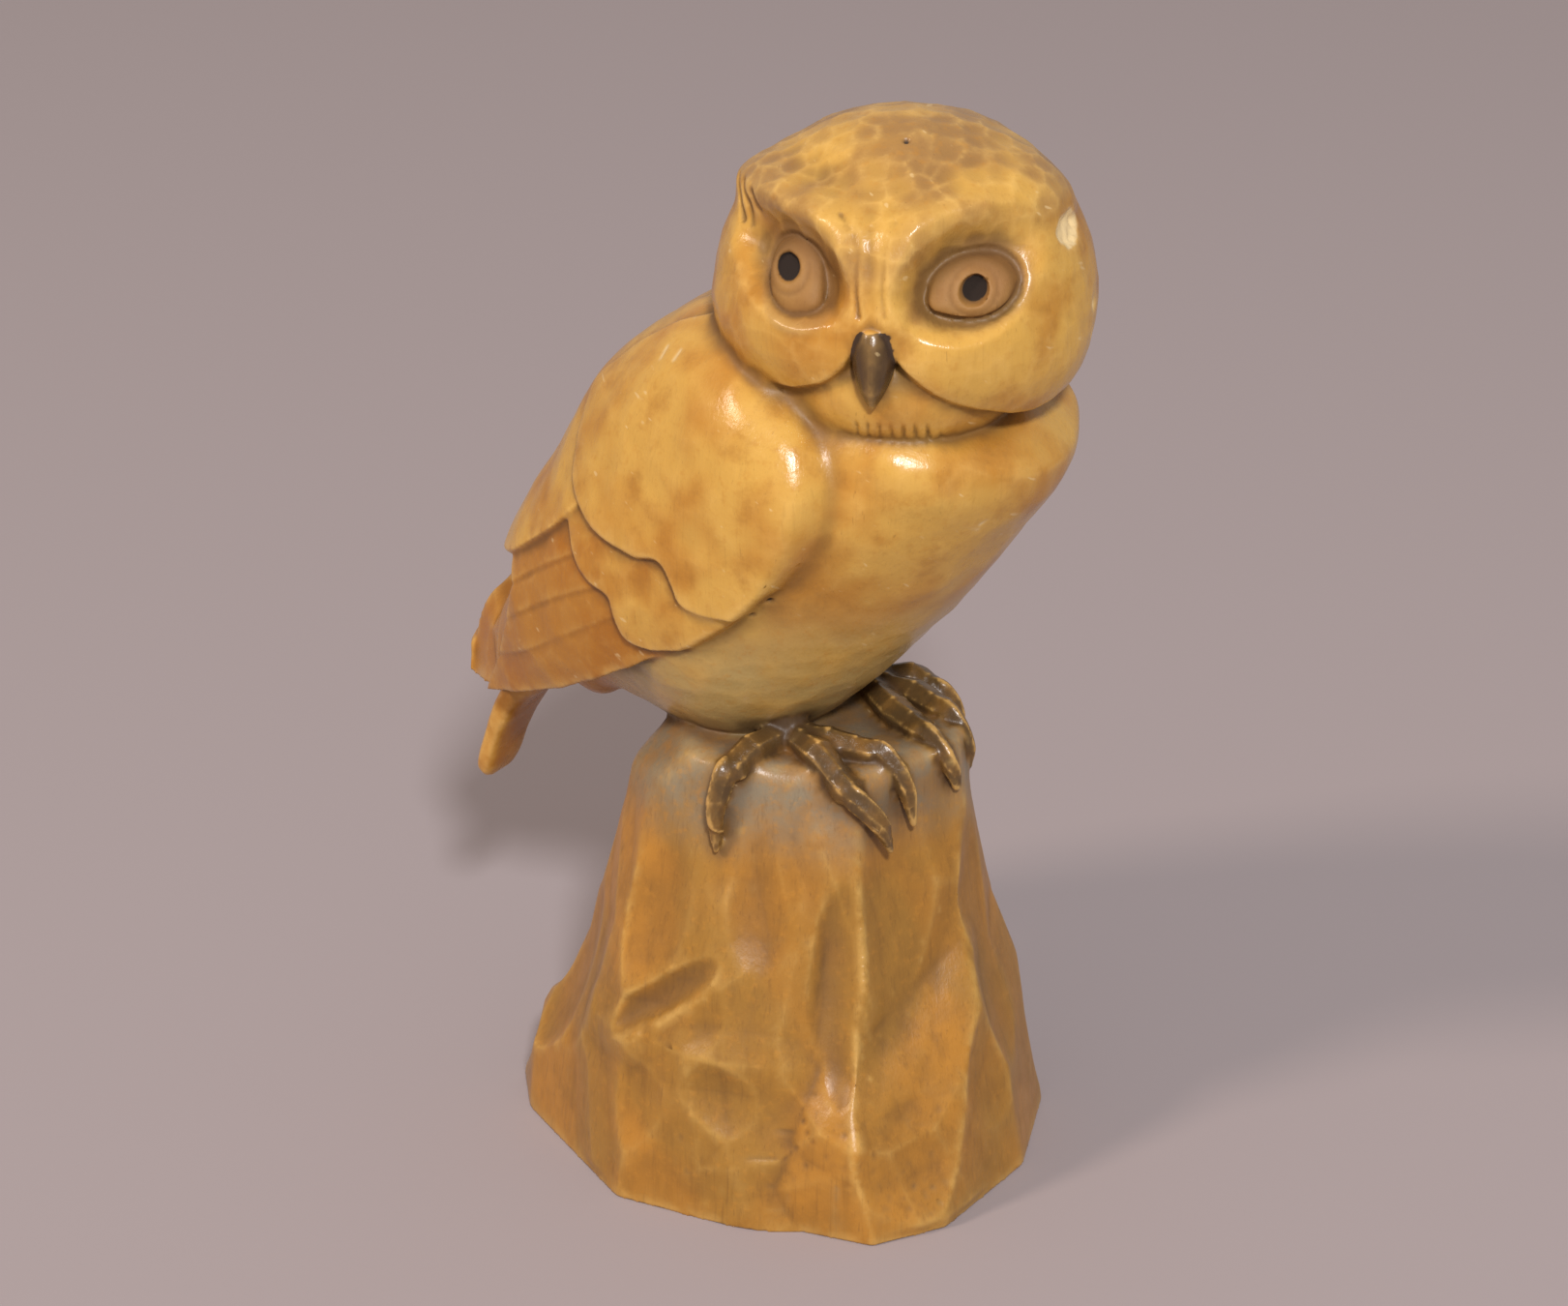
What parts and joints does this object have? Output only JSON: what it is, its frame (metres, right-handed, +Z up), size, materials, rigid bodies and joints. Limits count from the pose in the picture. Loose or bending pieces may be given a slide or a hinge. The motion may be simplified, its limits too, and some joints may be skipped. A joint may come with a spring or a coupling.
{
  "type": "carved owl figure",
  "caption": "Carved wooden owl perched on a faceted rock, its head turned to one side, wings folded and tail hanging free, standing on a flat underside.",
  "frame": {"origin": "on the flat underside of the rock, below the middle of its foot", "axes": "+Z up from the underside to the crown, -Y towards the viewer of the turned face, +X to the side the breast points to"},
  "size_m": [0.1703, 0.1394, 0.2975],
  "materials": {
    "carved_owl": "satin wax over stained limewood, worn paler on the high spots"
  },
  "bodies": {
    "root": {"carved_owl": "carved_owl"}
  },
  "joints": []
}
